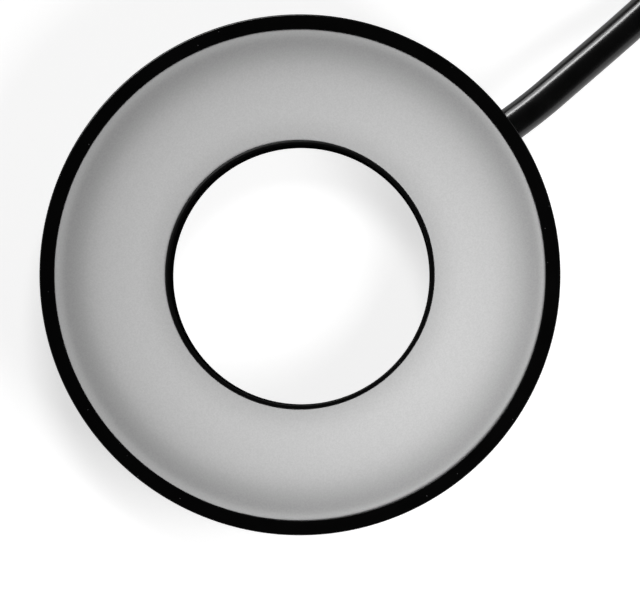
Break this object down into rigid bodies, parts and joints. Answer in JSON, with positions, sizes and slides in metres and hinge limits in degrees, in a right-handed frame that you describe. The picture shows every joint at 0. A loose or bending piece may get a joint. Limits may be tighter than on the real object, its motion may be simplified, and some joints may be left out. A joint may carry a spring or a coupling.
{
  "type": "machine vision ring light",
  "caption": "Flat diffused ring light for a camera lens: anodised ring with a central bore, opal front plate, rear mounting threads and a stored side cable with a screw connector.",
  "frame": {"origin": "on the bore axis, in the plane of the rear mounting face", "axes": "+Z along the bore axis, the way the light shines; +X the way the cable leaves the wall"},
  "size_m": [0.1809, 0.1715, 0.022],
  "materials": {
    "black_anodised": "matte black anodised",
    "black_silicone": "cured silicone bead",
    "blackened_steel": "black oxide",
    "opal_acrylic": "fine matte opal",
    "white_reflector": "matte white moulding",
    "white_board": "white solder mask",
    "grey_pad": "soft filled silicone",
    "led_package": "white package with a yellow window",
    "chip_ceramic": "glazed black ceramic",
    "chip_plastic": "moulded black epoxy",
    "plain_steel": "bright zinc",
    "bush_rubber": "soft black rubber",
    "clamp_nylon": "natural nylon",
    "header_nylon": "natural nylon",
    "tinned_pins": "tin plated",
    "brown_insulation": "wire insulation",
    "blue_insulation": "wire insulation",
    "cable_sheath": "glossy black sheath",
    "tie_webbing": "black hook and loop strap",
    "plug_plastic": "moulded black",
    "nickel_brass": "nickel-plated brass",
    "gold_contacts": "gold plated"
  },
  "bodies": {
    "light": {"housing": "black_anodised", "bore_sleeve": "black_anodised", "rear_cover": "black_anodised", "cover_seal": "black_silicone", "cover_screws": "blackened_steel", "sleeve_screws": "blackened_steel", "diffuser": "opal_acrylic", "outer_adhesive": "black_silicone", "inner_adhesive": "black_silicone", "reflector": "white_reflector", "led_board": "white_board", "thermal_pad": "grey_pad", "leds_inner_row": "led_package", "leds_middle_row": "led_package", "leds_outer_row": "led_package", "resistors": "chip_ceramic", "current_regulators": "chip_plastic", "protection_diode": "chip_plastic", "board_screws": "plain_steel", "cable_bush": "bush_rubber", "cable_clamp_lower": "clamp_nylon", "cable_clamp_upper": "clamp_nylon", "clamp_screws": "plain_steel", "board_header": "header_nylon", "header_pins": "tinned_pins", "lead_plug": "header_nylon", "lead_brown": "brown_insulation", "lead_blue": "blue_insulation", "cable_tail": "cable_sheath", "cable_lead": "cable_sheath", "cable_coil": "cable_sheath", "cable_end_run": "cable_sheath", "coil_ties": "tie_webbing", "plug_grip": "plug_plastic", "contact_carrier": "plug_plastic", "contact_pins": "gold_contacts", "plug_seal": "bush_rubber"},
    "nut": {"coupling_nut": "nickel_brass"}
  },
  "joints": [
    {"name": "coupling_nut_spin", "type": "hinge", "parent": "light", "child": "nut", "pos_m": [0.03182, 0.11124, 0.0074], "axis": [-0.9892, -0.1469, 0], "continuous": true}
  ]
}
